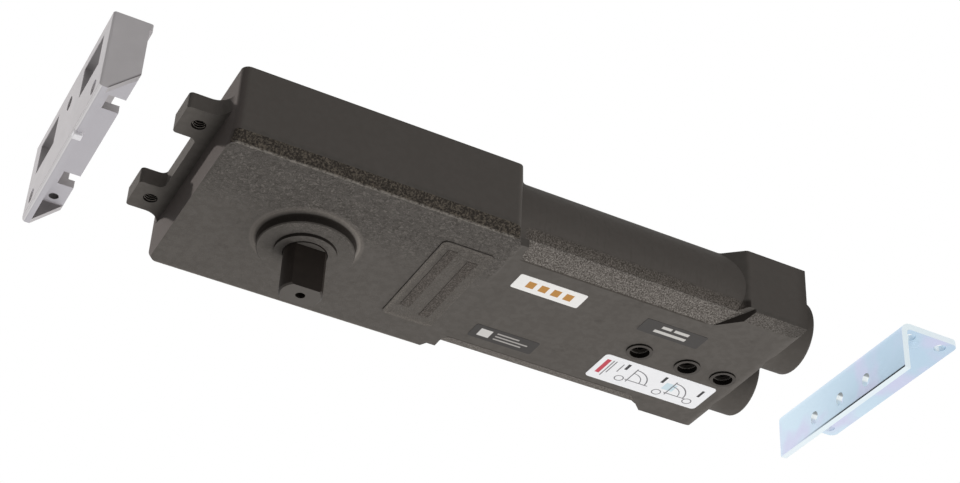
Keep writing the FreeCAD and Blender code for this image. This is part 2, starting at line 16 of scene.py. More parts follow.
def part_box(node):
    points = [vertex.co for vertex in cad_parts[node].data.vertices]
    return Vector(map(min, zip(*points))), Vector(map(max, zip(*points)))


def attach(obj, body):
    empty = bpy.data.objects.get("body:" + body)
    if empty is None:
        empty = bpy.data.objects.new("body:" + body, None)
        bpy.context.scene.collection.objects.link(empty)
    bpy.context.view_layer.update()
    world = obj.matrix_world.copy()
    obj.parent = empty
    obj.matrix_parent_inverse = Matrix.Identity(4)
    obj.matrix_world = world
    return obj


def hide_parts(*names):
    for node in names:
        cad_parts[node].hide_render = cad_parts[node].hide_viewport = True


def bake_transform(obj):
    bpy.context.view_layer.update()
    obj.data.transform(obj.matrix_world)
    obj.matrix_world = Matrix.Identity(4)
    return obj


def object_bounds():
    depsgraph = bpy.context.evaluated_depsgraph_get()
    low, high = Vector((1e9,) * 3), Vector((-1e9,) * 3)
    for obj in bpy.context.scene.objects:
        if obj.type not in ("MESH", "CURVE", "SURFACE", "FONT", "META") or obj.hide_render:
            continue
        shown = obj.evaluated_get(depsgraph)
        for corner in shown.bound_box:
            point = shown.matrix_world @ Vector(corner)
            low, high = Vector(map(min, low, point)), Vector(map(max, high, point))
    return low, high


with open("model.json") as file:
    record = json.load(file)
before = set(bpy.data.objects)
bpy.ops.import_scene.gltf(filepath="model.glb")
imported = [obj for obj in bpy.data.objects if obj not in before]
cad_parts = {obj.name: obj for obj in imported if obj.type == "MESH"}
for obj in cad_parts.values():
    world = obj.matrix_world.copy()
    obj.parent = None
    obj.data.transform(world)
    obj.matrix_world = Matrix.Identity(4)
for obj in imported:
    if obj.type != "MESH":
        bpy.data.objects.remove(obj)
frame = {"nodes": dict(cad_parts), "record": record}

cad_low, cad_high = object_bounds()
nodes = frame["nodes"]
MM = 0.001
print("CAD box in mm:", [round(size / MM, 1) for size in Vector(cad_high) - Vector(cad_low)])

# %% [markdown]
# ## The view
# The photograph looks up at the closer from below and in front, with a long lens. The camera could be
# pointed at the body with a constraint, but the photograph is also rolled a little, so the camera gets
# its three directions outright: right, down and forward as they run in the picture.

# %% Camera
CAMERA_EYE = Vector((-196.1, -547.7, -410.6)) * MM
CAMERA_RIGHT = Vector((0.88488, -0.46381, 0.04320))
CAMERA_DOWN = Vector((0.30182, 0.50023, -0.81159))
CAMERA_FORWARD = CAMERA_RIGHT.cross(CAMERA_DOWN)
LENS = 73.5

camera_data = bpy.data.cameras.new("photo_view")
camera_data.sensor_width = 36.0
camera_data.lens = LENS
camera_data.clip_start = 0.01
camera = bpy.data.objects.new("photo_view", camera_data)
bpy.context.scene.collection.objects.link(camera)
turn = Matrix((CAMERA_RIGHT, -CAMERA_DOWN, -CAMERA_FORWARD)).transposed()
camera.matrix_world = Matrix.Translation(CAMERA_EYE) @ turn.to_4x4()
bpy.context.scene.camera = camera
bpy.context.scene.view_settings.view_transform = "Standard"
print("camera looks along", [round(part, 3) for part in CAMERA_FORWARD])

# %% [markdown]
# ## Shader maths
# A finish is a small graph of nodes. Written node by node it is long and hard to read, so one class wraps
# a socket and lets Python's own operators add the Math nodes, and one method adds every other node.


# %% Values
class Value:
    """A shader socket that Python's operators can work on."""

    def __init__(self, graph, socket):
        self.graph = graph
        self.socket = socket

    def math(self, operation, *operands):
        return self.graph.node("ShaderNodeMath", {"operation": operation}, dict(enumerate(operands)))

    def __add__(self, other):
        return self.math("ADD", self, other)

    def __sub__(self, other):
        return self.math("SUBTRACT", self, other)

    def __rsub__(self, other):
        return self.math("SUBTRACT", other, self)

    def __mul__(self, other):
        return self.math("MULTIPLY", self, other)

    def __abs__(self):
        return self.math("ABSOLUTE", self)

    __radd__ = __add__
    __rmul__ = __mul__

    def at_least(self, other):
        return self.math("MAXIMUM", self, other)

    def root(self):
        return self.math("SQRT", self)

    def ramp(self, low, high):
        """Rises softly from 0 at low to 1 at high."""
        inputs = {"Value": self, "From Min": low, "From Max": high}
        return self.graph.node("ShaderNodeMapRange", {"interpolation_type": "SMOOTHSTEP"}, inputs)

    def within(self, low, high, soft):
        """1 between low and high, 0 outside, with edges as soft as given."""
        return self.ramp(low - soft, low + soft) * (1 - self.ramp(high - soft, high + soft))

    def near(self, middle, reach):
        """1 at the middle, falling to 0 at the reach on both sides of it."""
        return 1 - abs(self - middle).ramp(0, reach)


print("a value can:", [name for name in vars(Value) if not name.startswith("__")])


# %% Graphs and finishes
class Graph:
    """A node tree that is filled by one method."""

    def __init__(self, tree):
        self.tree = tree
        self.tree.nodes.clear()

    def node(self, kind, settings=None, inputs=None, output=0):
        """Adds a node, sets it up, fills its sockets and gives back one of its outputs."""
        made = self.tree.nodes.new(kind)
        for key, setting in (settings or {}).items():
            setattr(made, key, setting)
        for key, value in (inputs or {}).items():
            if isinstance(value, Value):
                self.tree.links.new(value.socket, made.inputs[key])
            else:
                made.inputs[key].default_value = value
        return Value(self, made.outputs[output]) if len(made.outputs) else None


class Finish(Graph):
    """One material under construction, with a Principled shader that is fed by name."""

    def __init__(self, name, **constants):
        self.material = bpy.data.materials.new(name)
        self.material.use_nodes = True
        super().__init__(self.material.node_tree)
        inputs = {name.replace("_", " "): value for name, value in constants.items()}
        self.surface = self.node("ShaderNodeBsdfPrincipled", inputs=inputs)
        self.place = self.node("ShaderNodeTexCoord", output="Object")
        self.facing = self.node("ShaderNodeTexCoord", output="Normal")

    def feed(self, socket, value):
        self.tree.links.new(value.socket, self.surface.socket.node.inputs[socket])

    def done(self, surface=None):
        """Shows the Principled shader, or another one, and gives back the material."""
        self.node("ShaderNodeOutputMaterial", inputs={0: surface or self.surface})
        return self.material

    def parts(self, vector):
        """The three numbers of a vector."""
        return [self.node("ShaderNodeSeparateXYZ", inputs={0: vector}, output=axis) for axis in "XYZ"]

    def millimetres(self):
        """A point's place in the frame, in millimetres."""
        return [part * (1 / MM) for part in self.parts(self.place)]

    def noise(self, size, detail=3.0, roughness=0.55, swirl=0.0, place=None):
        """Cloudy noise whose lumps are about as large as the given size in metres."""
        inputs = {"Vector": place or self.place, "Scale": 1 / size, "Detail": detail,
                  "Roughness": roughness, "Distortion": swirl}
        return self.node("ShaderNodeTexNoise", inputs=inputs)

    def streaks(self, size, length):
        """Noise drawn out into upright streaks, both measures in metres."""
        inputs = {"Vector": self.place, "Scale": (1, 1, size / length)}
        return self.noise(size, 3.0, 0.6, place=self.node("ShaderNodeMapping", inputs=inputs))

    def from_axis(self, first, second, axis):
        """How far a point lies from an axis, which is given by two of its coordinates."""
        aside, ahead = first - axis[0], second - axis[1]
        return (aside * aside + ahead * ahead).root()

    def blend(self, factor, first, second):
        """A colour between two colours."""
        return self.node("ShaderNodeMix", {"data_type": "RGBA"}, {0: factor, 6: first, 7: second}, 2)

    def bump(self, height, depth, strength=1.0):
        """Feeds a height in 0 to 1 to the surface's normal, with the given depth in metres."""
        inputs = {"Height": height, "Distance": depth, "Strength": strength}
        self.feed("Normal", self.node("ShaderNodeBump", inputs=inputs))


print("a finish can:", [name for name in vars(Finish) if not name.startswith("__")])


# %% Colours
def colour(red, green, blue):
    """A colour as it is read off a screen, 0 to 255, turned into the shader's linear numbers."""
    def linear(level):
        level = level / 255
        return level / 12.92 if level <= 0.04045 else ((level + 0.055) / 1.055) ** 2.4
    return (linear(red), linear(green), linear(blue), 1.0)


print("black-brown coat in linear numbers:", [round(part, 3) for part in colour(86, 82, 78)])

# %% [markdown]
# ## Floor, light and background
# The picture has a plain white background. The view is from below, so a floor under the closer would
# stand between it and the camera: the floor shows its upper side only, fades out around the closer, and the
# world behind it is white.
# The strongest lamp is a small one, so that the lugs throw crisp shadows. It stands high behind the jamb
# end, because those shadows fall down the end wall and towards its near side. The other lamps are wide and
# fill in softly from below, from the near side and from the header's end.

# %% Floor
MIDDLE = Vector((0.07, 0, 0.01))
FLOOR_SIZE = 1.2
FLOOR_GAP = 0.2 * MM
FLOOR_FADE = (0.12, 0.42)
bpy.ops.object.select_all(action="DESELECT")
bpy.ops.mesh.primitive_plane_add(size=FLOOR_SIZE, location=(0, 0, cad_low[2] - FLOOR_GAP))
floor = bpy.context.object
floor.name = "studio_floor"
paper = Finish("studio_floor", Base_Color=(0.82, 0.82, 0.82, 1), Roughness=0.9)
clear = paper.node("ShaderNodeBsdfTransparent")
underside = paper.node("ShaderNodeNewGeometry", output="Backfacing")
aside, ahead, _ = paper.parts(paper.place)
far_away = paper.from_axis(aside, ahead, (MIDDLE.x, MIDDLE.y)).ramp(*FLOOR_FADE)
unseen = underside.at_least(far_away)
shown = paper.node("ShaderNodeMixShader", inputs={0: unseen, 1: paper.surface, 2: clear})
floor.data.materials.append(paper.done(shown))
floor.visible_shadow = False
floor.visible_diffuse = False
floor.visible_glossy = False
print("floor at z", round(cad_low[2] / MM, 1), "mm")

# %% World
AMBIENT = 0.18
world = bpy.data.worlds.new("white_studio")
bpy.context.scene.world = world
world.use_nodes = True
sky = Graph(world.node_tree)
seen = sky.node("ShaderNodeLightPath", output="Is Camera Ray")
seen = seen.at_least(sky.node("ShaderNodeLightPath", output="Is Glossy Ray"))
seen = seen.at_least(sky.node("ShaderNodeLightPath", output="Is Transmission Ray"))
white = sky.node("ShaderNodeBackground", inputs={"Color": (1, 1, 1, 1), "Strength": 1.0})
felt = sky.node("ShaderNodeBackground", inputs={"Color": (1.0, 0.985, 0.97, 1), "Strength": AMBIENT})
light = sky.node("ShaderNodeMixShader", inputs={0: seen, 1: felt, 2: white})
sky.node("ShaderNodeOutputWorld", inputs={0: light})
print("ambient light", AMBIENT)


# %% Lamps
def soft_lamp(name, direction, distance, size, level):
    """A square lamp at a distance from the closer, where level 1 shows a colour as it is written."""
    data = bpy.data.lights.new(name, "AREA")
    data.shape = "SQUARE"
    data.size = size
    data.energy = level * (math.pi * distance) ** 2
    lamp = bpy.data.objects.new(name, data)
    bpy.context.scene.collection.objects.link(lamp)
    lamp.location = MIDDLE + Vector(direction).normalized() * distance
    lamp.rotation_euler = (MIDDLE - lamp.location).to_track_quat("-Z", "Y").to_euler()
    lamp.visible_glossy = False


soft_lamp("jamb_end_key", (-0.52, 0.68, 0.52), 1.5, 0.06, 1.58)
soft_lamp("below_fill", (0.3, 0.02, -1.0), 1.6, 1.1, 0.73)
soft_lamp("near_fill", (0.2, -1.0, 0.15), 1.8, 1.0, 0.22)
soft_lamp("header_end_fill", (1.0, 0.1, -0.1), 1.5, 0.9, 0.44)

# %% [markdown]
# ## The coated iron casting
# The body is an iron casting under a dark brown-black coat. Its side walls are smooth, its underside is
# finely pebbled, and its lower edges keep the coarse sand grain of the mould: dark on the head, and pale
# along the tail, where the paleness is painted glints of the grain. An image texture would need
# unwrapping, so the grain is noise in the frame's own space, and masks made from a point's place and the
# way its face points pick out each region. Their limits are places in the frame, in millimetres. Each of
# the next cells paints one region over the coat, and the last one adds roughness and relief. Light and
# shade are painted into some regions: highlights and shade on the pebbles, shade on the flank by the wing,
# on the boss's walls and in the lug holes, highlights round the boss's root, along the head's lower edge
# and on the threads' crests.


# %% Cast iron
class CastIron(Finish):
    """The casting's coat, on which each region is painted over what is there already."""

    def __init__(self):
        super().__init__("cast_iron_coat", Specular_IOR_Level=0.06)
        self.x, self.y, self.z = self.millimetres()
        self.side = abs(self.y)
        self.below = self.z * -1
        self.across, self.along, self.upright = self.parts(self.facing)
        self.downward = (self.upright * -1).ramp(0.5, 0.95)
        self.fine = self.noise(0.9 * MM, 4.0, 0.62)
        self.lumps = self.noise(1.4 * MM, 4.0, 0.64, 1.4)
        self.grain = self.noise(0.55 * MM, 3.0, 0.7).ramp(0.36, 0.66)
        clouds = self.noise(16 * MM, 3.0, 0.5)
        self.tone = self.blend(clouds, colour(92, 88, 84), colour(102, 98, 94))

    def paint(self, mask, shade):
        """Lays a colour over a region."""
        self.tone = self.blend(mask, self.tone, shade)

    def count(self, region):
        print(region, "painted,", len(self.tree.nodes), "nodes so far")


iron = CastIron()
iron.count("coat")

# %% Underside
HEAD_FRONT = -46.0
HEAD_BACK = 68.5


def paint_underside(iron):
    mottles = iron.noise(3.2 * MM, 2.0, 0.5).ramp(0.38, 0.62)
    stains = iron.noise(11 * MM, 4.0, 0.6).ramp(0.6, 0.7)
    on_head = iron.x.within(HEAD_FRONT + 0.5, HEAD_BACK - 0.5, 1.0)
    pebbled = iron.downward * on_head * (0.12 + (iron.y * -1).ramp(2, 22) * 0.88)
    iron.paint(mottles * 0.4, colour(86, 82, 78))
    iron.paint(stains * iron.downward * 0.3, colour(70, 66, 62))
    # Painted highlight on the tops of the pebbles and painted shade in the hollows between them, strongest
    # on the near side of the head.
    iron.paint(pebbled * iron.lumps.ramp(0.52, 0.64) * 0.55, colour(134, 128, 122))
    iron.paint(pebbled * (1 - iron.lumps.ramp(0.37, 0.48)) * 0.4, colour(50, 46, 42))
    return pebbled


pebbled = paint_underside(iron)
iron.count("underside")

# %% Walls
TAIL_SPAN = (70.0, 156.0)
NOTCH_SPAN = (153.0, 167.0)
CYLINDER_ENDS = (185.0, 192.0)


def paint_walls(iron):
    frontward = iron.across * -1
    wall = abs(iron.along).ramp(0.85, 0.97) * iron.z.ramp(4.5, 6.0)
    streaks = wall * iron.x.within(*TAIL_SPAN, 1.0) * iron.streaks(1.2 * MM, 14 * MM).ramp(0.5, 0.75)
    notch = iron.x.within(*NOTCH_SPAN, 1.0) * iron.side.ramp(29, 31) * (1 - iron.z.ramp(7, 9))
    end_wall = 1 - iron.x.ramp(HEAD_FRONT + 4, HEAD_FRONT + 6)
    end_wall = end_wall * iron.x.ramp(HEAD_FRONT - 0.5, HEAD_FRONT - 0.2)
    iron.paint(wall * 0.6, colour(102, 97, 93))
    iron.paint(streaks * 0.16, colour(66, 61, 56))
    # Painted shade on the front-facing flank by the wing.
    iron.paint(notch * frontward.ramp(0.04, 0.2) * 0.85, colour(38, 33, 30))
    iron.paint(iron.x.ramp(*CYLINDER_ENDS) * 0.5, colour(74, 70, 66))
    iron.paint(end_wall * frontward.ramp(0.2, 0.5) * 0.9, colour(94, 88, 85))
    return wall


wall = paint_walls(iron)
iron.count("walls")

# %% Spindle boss
BOSS_WALL = (17.9, 19.2)
BOSS_ROOT = (18.7, 20.8)
GLAND_WALL = (10.2, 11.9)


def paint_boss(iron):
    from_spindle = iron.from_axis(iron.x, iron.y, (0, 0))
    standing = 1 - iron.downward
    boss_wall = (from_spindle + iron.lumps).within(*BOSS_WALL, 0.7) * iron.below.ramp(0.6, 1.3) * standing
    boss_root_highlight = from_spindle.within(*BOSS_ROOT, 0.6) * iron.below.ramp(-0.1, 0.1)
    gland_wall = from_spindle.within(*GLAND_WALL, 0.3) * iron.below.ramp(3, 4) * standing
    # Painted highlight on the rounded root round the boss.
    iron.paint(boss_root_highlight * 0.9, colour(128, 122, 116))
    # Painted shade on the upright walls of the boss and of the gland.
    iron.paint((boss_wall + gland_wall) * 0.9, colour(38, 34, 31))


paint_boss(iron)
iron.count("spindle boss")

# %% Sandy edges
BAND_FOOT = 29.8
BAND_TOP = 3.5
BAND_END = 162.0
ROUGH_TOP = 7.6
ROUGH_SIDE = (36.5, 37.5)
WING_EDGE = 38.1
WING_FRONT = (158.0, 168.0)
HEAD_SIDE = (38.0, 40.0)


def paint_sandy_edges(iron):
    low = 1 - iron.z.ramp(BAND_TOP, BAND_TOP + 0.4)
    slanted = abs(iron.along).ramp(0.2, 0.34) * (iron.upright * -1).ramp(0.2, 0.5)
    lengthwise = 1 - abs(iron.across).ramp(0.2, 0.45)
    foot = BAND_FOOT - 0.3 + iron.x.ramp(*WING_FRONT) * (WING_EDGE - BAND_FOOT)
    pale_band = iron.x.ramp(HEAD_BACK - 1, HEAD_BACK + 1) * low * slanted
    pale_band = pale_band * lengthwise * (iron.side - foot).ramp(-0.3, 0.3)
    rough_band = iron.x.within(HEAD_BACK + 1, BAND_END, 1.5) * iron.side.ramp(*ROUGH_SIDE)
    rough_band = rough_band * iron.z.within(BAND_TOP, ROUGH_TOP, 0.9)
    head_edge = (1 - iron.x.ramp(HEAD_BACK - 4, HEAD_BACK - 2)) * low * slanted * iron.side.ramp(*HEAD_SIDE)
    olive = iron.noise(0.75 * MM, 3.0, 0.65).ramp(0.40, 0.68)
    iron.paint(head_edge * 0.9, iron.blend(olive, colour(44, 40, 36), colour(104, 96, 86)))
    iron.paint(rough_band * 0.85, iron.blend(iron.grain, colour(70, 65, 60), colour(132, 125, 118)))
    # The pale band's lightness is painted glints on the sand grain, fading out over the wing.
    pale_band_glints = pale_band * (0.95 - iron.x.ramp(160, 166) * 0.4 - iron.x.ramp(174, 188) * 0.4)
    iron.paint(pale_band_glints, iron.blend(iron.grain, colour(82, 77, 72), colour(154, 148, 142)))
    return pale_band, pale_band + rough_band + head_edge


pale_band, sandy = paint_sandy_edges(iron)
iron.count("sandy edges")

# %% Rim and seam
HEAD_EDGE = 40.95


def paint_rim_and_seam(iron):
    along_head = 1 - iron.x.ramp(HEAD_BACK - 6.5, HEAD_BACK - 3.5)
    along_head = along_head * iron.x.ramp(HEAD_FRONT, HEAD_FRONT + 3)
    rim = iron.side.near(HEAD_EDGE, 0.8) * (1 - iron.z.ramp(0.2, 0.7)) * along_head
    along_tail = iron.x.within(TAIL_SPAN[0] + 2, TAIL_SPAN[1] - 4, 1.0)
    seam = iron.side.near(BAND_FOOT, 0.7) * (1 - iron.z.ramp(0.2, 0.6)) * along_tail
    # A thin pale line along the head's lower edge: wear on the metal with a painted edge highlight.
    iron.paint(rim * iron.fine.ramp(0.3, 0.6) * 0.75, colour(156, 150, 142))
    iron.paint(seam * 0.7, colour(58, 53, 48))


paint_rim_and_seam(iron)
iron.count("rim and seam")

# %% Panel and lug holes
PANEL_SPAN = (42.5, 63.5)
PANEL_SIDE = 26.8
LUG_HOLES = (-53.2, 24.6)
THREAD_ROOT = (2.6, 2.75)
THREAD_CREST = (2.24, 2.38)


def paint_panel(iron):
    on_panel = iron.x.within(*PANEL_SPAN, 0.6) * (1 - iron.side.ramp(PANEL_SIDE - 0.6, PANEL_SIDE + 0.6))
    panel = on_panel * iron.below.ramp(0.15, 0.4)
    lip = panel * iron.x.near(PANEL_SPAN[0] + 0.9, 1.6).at_least(iron.side.near(PANEL_SIDE - 0.6, 1.8))
    ribs = panel * iron.below.ramp(0.56, 0.66)
    iron.paint((panel * 0.35 + lip * 0.4) * iron.grain, colour(138, 131, 123))
    iron.paint(ribs * 0.9, iron.blend(iron.grain, colour(76, 71, 67), colour(122, 115, 109)))
    return panel, ribs


def paint_lug_holes(iron):
    from_hole = iron.from_axis(iron.x, iron.side, LUG_HOLES)
    # Painted shade inside the lug holes.
    iron.paint((1 - from_hole.ramp(*THREAD_ROOT)) * 0.95, colour(24, 21, 19))
    # Painted glints on the threads' crests.
    iron.paint((1 - from_hole.ramp(*THREAD_CREST)) * 0.9, colour(206, 198, 190))


panel, rib_grain = paint_panel(iron)
paint_lug_holes(iron)
iron.count("panel and lug holes")

# %% Roughness and relief of the casting
iron.feed("Base Color", iron.tone)
iron.feed("Roughness", 0.56 + iron.fine * 0.18 + pale_band * 0.15 + wall * 0.1)
rough = sandy + panel * 0.9
height = iron.fine * (0.12 + rough * 0.9) + iron.lumps * pebbled * 3.6
height = height + iron.grain * (rough + rib_grain) * 0.6
iron.bump(height, 0.35 * MM, 0.8)
iron_coat = iron.done()
print("finish:", iron_coat.name, "with", len(iron_coat.node_tree.nodes), "nodes")

# %% [markdown]
# ## Steel, zinc and die-cast metal
# The spindle and the valves are blackened steel, the angle bracket is sheet steel under bright zinc with
# a faint blue and lilac tint, and the jamb bracket is a light die casting with a satin skin. One plain
# colour for each would look like plastic, so each gets its own small graph: a lighter tone on the
# spindle's downward faces, soft clouds in the zinc, fine grain and a near-white lower front rim on the
# casting, and a bright break on the casting's nub, painted near white so that it also stands in for the
# nub's highlights. Light and shade are painted into several of these colours: shade on the walls of the
# valve collars, in the casting's windows, pocket and pin holes, under the slots' roofs and along the
# foot of the zinc leg; glints on the valves and highlights on the zinc's edges; and white on the slot
# walls, where the bright background would show through. The pieces inside get plain metals and rubber.


# %% Blackened steel
def dark_steel():
    finish = Finish("black_oxide_steel", Specular_IOR_Level=0.14)
    upright = finish.parts(finish.facing)[2]
    clouds = finish.noise(5 * MM, 3.0)
    black = finish.blend(clouds, colour(32, 27, 24), colour(46, 41, 37))
    # Faces that point down, such as the spindle's tip, get a lighter tone.
    finish.feed("Base Color", finish.blend((upright * -1).ramp(0.6, 0.9), black, colour(91, 87, 83)))
    finish.feed("Roughness", 0.42 + clouds * 0.2)
    finish.bump(finish.noise(0.6 * MM, 2.0), 0.05 * MM, 0.5)
    return finish.done()


def valve_steel():
    finish = Finish("oiled_valve_steel", Specular_IOR_Level=0.1)
    along = finish.parts(finish.facing)[1]
    clouds = finish.noise(2 * MM, 3.0)
    black = finish.blend(clouds, colour(16, 14, 13), colour(30, 27, 25))
    glint = (along * -1).ramp(0.5, 0.8) * finish.noise(0.8 * MM, 2.0).ramp(0.58, 0.64)
    finish.feed("Base Color", finish.blend(glint, black, colour(124, 120, 116)))
    finish.feed("Roughness", 0.3 + clouds * 0.15)
    return finish.done()


def collar_iron():
    finish = Finish("valve_collar_iron", Specular_IOR_Level=0.12)
    upright = finish.parts(finish.facing)[2]
    clouds = finish.noise(2 * MM, 3.0)
    face = finish.blend(clouds, colour(66, 62, 59), colour(86, 82, 78))
    # Painted shade: walls that don't face down are near black, while the downward faces keep the coat's
    # tone.
    finish.feed("Base Color", finish.blend((upright * -1).ramp(0.5, 0.9), colour(24, 21, 19), face))
    finish.feed("Roughness", 0.45 + clouds * 0.2)
    return finish.done()


spindle_coat = dark_steel()
valve_coat = valve_steel()
collar_coat = collar_iron()
print("finishes:", spindle_coat.name, valve_coat.name, collar_coat.name)

# %% Zinc plate
LEG_FOOT = 1.9
SLOT_SPAN = (5.0, 16.0)
SLOT_REACH = 32.0


def zinc_plate():
    finish = Finish("bright_zinc", Metallic=0.8)
    _, y, z = finish.millimetres()
    across, along, upright = finish.parts(finish.facing)
    clouds = finish.noise(22 * MM, 2.0)
    spangle = finish.noise(2.2 * MM, 2.0)
    tint = finish.blend(y.ramp(-30, 44), colour(190, 213, 231), colour(211, 230, 243))
    tint = finish.blend(clouds.ramp(0.46, 0.66) * 0.7, tint, colour(212, 208, 236))
    # Painted highlight: near white on faces that point to the near side and on the leg's downward foot.
    foot_highlight = (upright * -1).ramp(0.8, 0.95) * (1 - z.ramp(LEG_FOOT, LEG_FOOT + 1))
    edge_highlight = (along * -1).ramp(0.7, 0.95) + foot_highlight
    tint = finish.blend(edge_highlight * 0.85, tint, colour(238, 248, 251))
    # Painted light: the slots' walls are white, standing in for the bright background seen through them.
    among_slots = z.within(*SLOT_SPAN, 0.5) * (1 - abs(y).ramp(SLOT_REACH - 2, SLOT_REACH + 2))
    slot_wall = (1 - abs(across).ramp(0.2, 0.5)) * among_slots
    tint = finish.blend(slot_wall, tint, colour(246, 252, 253))
    # Painted shade under the roofs of the slots.
    slot_roof = slot_wall * (upright * -1).ramp(0.75, 0.95)
    tint = finish.blend(slot_roof * 0.7, tint, colour(66, 74, 82))
    # Painted shade along the foot of the leg's front face, fading towards the far side.
    low_on_leg = 1 - z.ramp(LEG_FOOT + 0.5, LEG_FOOT + 1.1)
    foot_shade_line = (across * -1).ramp(0.8, 0.95) * low_on_leg * (1 - y.ramp(-4, 36))
    tint = finish.blend(foot_shade_line, tint, colour(22, 30, 38))
    finish.feed("Base Color", tint)
    finish.feed("Roughness", 0.24 + spangle * 0.14)
    finish.bump(spangle, 0.02 * MM, 0.3)
    return finish.done()


zinc_coat = zinc_plate()
print("finish:", zinc_coat.name, "with", len(zinc_coat.node_tree.nodes), "nodes")

# %% Die casting
PIN_HOLES = (-85.4, 37.0)
CHEEK_FOOT = (-90.7, 1.5)
CHEEK_EDGE = (0.718, 0.696)
CHEEK_INSIDE = (40.7, 41.3)
WINDOW_DEPTH = (-93.4, -89.5)
WINDOW_FOOT = 16.4
WINDOW_REACH = 39.0


def die_cast():
    finish = Finish("die_cast_skin", Metallic=0.3)
    x, y, z = finish.millimetres()
    across, along, upright = finish.parts(finish.facing)
    clouds = finish.noise(9 * MM, 4.0)
    grain = finish.noise(0.5 * MM, 3.0)
    skin = finish.blend(clouds, colour(178, 174, 175), colour(196, 192, 193))
    shelf = (upright * -1).ramp(0.8, 0.95) * (1 - z.ramp(12, 14))
    skin = finish.blend(shelf * 0.6, skin, colour(200, 198, 205))
    above_edge = (z - CHEEK_FOOT[1]) * CHEEK_EDGE[0] - (x - CHEEK_FOOT[0]) * CHEEK_EDGE[1]
    cheek = abs(along).ramp(0.8, 0.95) * abs(y).ramp(42, 43.5) * x.ramp(-91.5, -90)
    skin = finish.blend(above_edge.near(0.1, 0.8) * cheek * 0.85, skin, colour(84, 78, 79))
    window = x.within(*WINDOW_DEPTH, 0.2) * z.ramp(WINDOW_FOOT, WINDOW_FOOT + 0.6)
    window = window * (1 - abs(y).ramp(WINDOW_REACH - 1, WINDOW_REACH + 1))
    # Painted shade on the inner walls of the windows.
    window_wall = window * (1 - abs(across).ramp(0.2, 0.5))
    skin = finish.blend(window_wall * 0.35, skin, colour(104, 101, 102))
    # Painted shade on the cheeks' inner faces below the shelf.
    pocket = abs(y).within(*CHEEK_INSIDE, 0.3) * (1 - z.ramp(10.8, 11.2)) * abs(along).ramp(0.8, 0.95)
    skin = finish.blend(pocket * 0.75, skin, colour(102, 98, 97))
    # Painted shade inside the pin holes.
    in_pin_hole = 1 - finish.from_axis(x, abs(y), PIN_HOLES).ramp(1.8, 1.95)
    skin = finish.blend(in_pin_hole * 0.8, skin, colour(52, 49, 49))
    # The rounded lower front edge is painted near white.
    lower_front_round = (across * -1).within(0.3, 0.96, 0.1) * (upright * -1).within(0.3, 0.96, 0.1)
    skin = finish.blend(lower_front_round * 0.9, skin, colour(246, 243, 244))
    finish.feed("Base Color", skin)
    finish.feed("Roughness", 0.46 + grain * 0.18)
    finish.bump(grain, 0.06 * MM, 0.5)
    return finish.done()


def nub_break_and_highlight():
    """The nub's broken metal, painted near white so that it also stands in for the nub's highlights."""
    finish = Finish("die_cast_break_and_highlight", Metallic=0.2)
    grain = finish.noise(0.8 * MM, 3.0)
    finish.feed("Base Color", finish.blend(grain, colour(226, 223, 226), colour(252, 251, 253)))
    finish.feed("Roughness", 0.3 + grain * 0.3)
    finish.bump(grain, 0.1 * MM, 0.5)
    return finish.done()


casting_skin = die_cast()
nub_skin = nub_break_and_highlight()
print("finishes:", casting_skin.name, nub_skin.name)


# %% Inner metals and rubber
def plain_metal(name, first, second, rough):
    finish = Finish(name, Metallic=1.0)
    clouds = finish.noise(4 * MM, 3.0)
    finish.feed("Base Color", finish.blend(clouds, first, second))
    finish.feed("Roughness", rough + clouds * 0.12)
    return finish.done()


def seal_rubber():
    finish = Finish("seal_rubber")
    clouds = finish.noise(2 * MM, 3.0)
    finish.feed("Base Color", finish.blend(clouds, colour(24, 24, 24), colour(40, 39, 38)))
    finish.feed("Roughness", 0.62 + clouds * 0.2)
    return finish.done()


finishes = {
    "body_iron": iron_coat,
    "dark_steel": spindle_coat,
    "plain_steel": plain_metal("ground_steel", colour(176, 176, 178), colour(198, 198, 200), 0.25),
    "spring_steel": plain_metal("tempered_wire", colour(88, 88, 94), colour(120, 118, 120), 0.35),
    "bush_bronze": plain_metal("sintered_bronze", colour(168, 128, 78), colour(186, 148, 98), 0.4),
    "seal_rubber": seal_rubber(),
    "die_cast": casting_skin,
    "zinc_plate": zinc_coat,
}
print("finishes for", len(finishes), "slots")

# %% Dress the nodes
own_finish = dict.fromkeys(("closing_valve", "latching_valve", "backcheck_valve"), valve_coat)
own_finish["valve_collars"] = collar_coat
for part in frame["record"]["subparts"]:
    for slot in nodes[part["node"]].material_slots:
        slot.material = own_finish.get(part["node"], finishes[part["material_slot"]])

# %% [markdown]
# ## Stickers
# Four thin film stickers sit on the underside. Each could be a flat plane, but a plane shows no edge, so a
# plane gets its corners rounded with a vertex bevel and is then extruded to a film that starts just inside
# the casting. Their prints are plain bars, rings and arcs in the colours of such stickers, drawn by shader
# maths: each shape is a mask over the sticker's own millimetres, and shapes join by maximum.


# %% Sticker films
FILM_SUNK = 0.05 * MM
FILM_RAISED = 0.12 * MM


